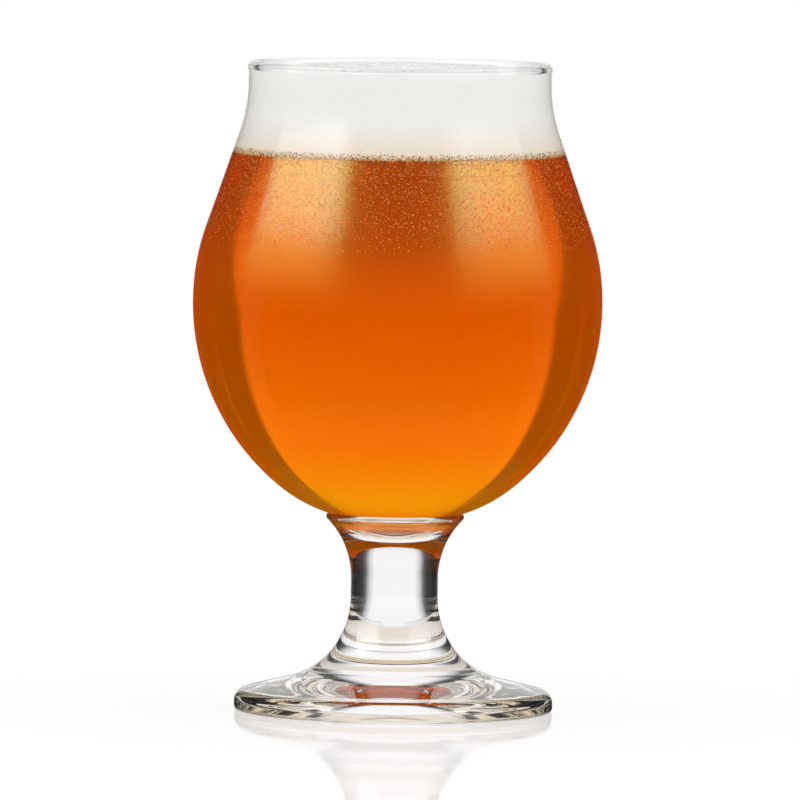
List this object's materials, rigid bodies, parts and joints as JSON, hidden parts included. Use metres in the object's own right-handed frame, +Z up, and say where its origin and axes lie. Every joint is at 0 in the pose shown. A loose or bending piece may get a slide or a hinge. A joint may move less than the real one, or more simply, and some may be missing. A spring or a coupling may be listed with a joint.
{
  "type": "glass goblet",
  "caption": "Stemmed glass goblet with a wide tulip bowl, a short thick stem and a round foot, filled with amber beer under a white head of foam.",
  "frame": {"origin": "centre of the flat ring under the foot, at table height", "axes": "+Z up along the axis of the goblet, from the foot to the lip"},
  "size_m": [0.0948, 0.0948, 0.1501],
  "materials": {
    "clear_glass": "polished",
    "amber_beer": "gloss",
    "white_foam": "matte"
  },
  "bodies": {
    "root": {"foot": "clear_glass", "stem": "clear_glass", "bowl": "clear_glass", "beer": "amber_beer", "foam_head": "white_foam"}
  },
  "joints": []
}
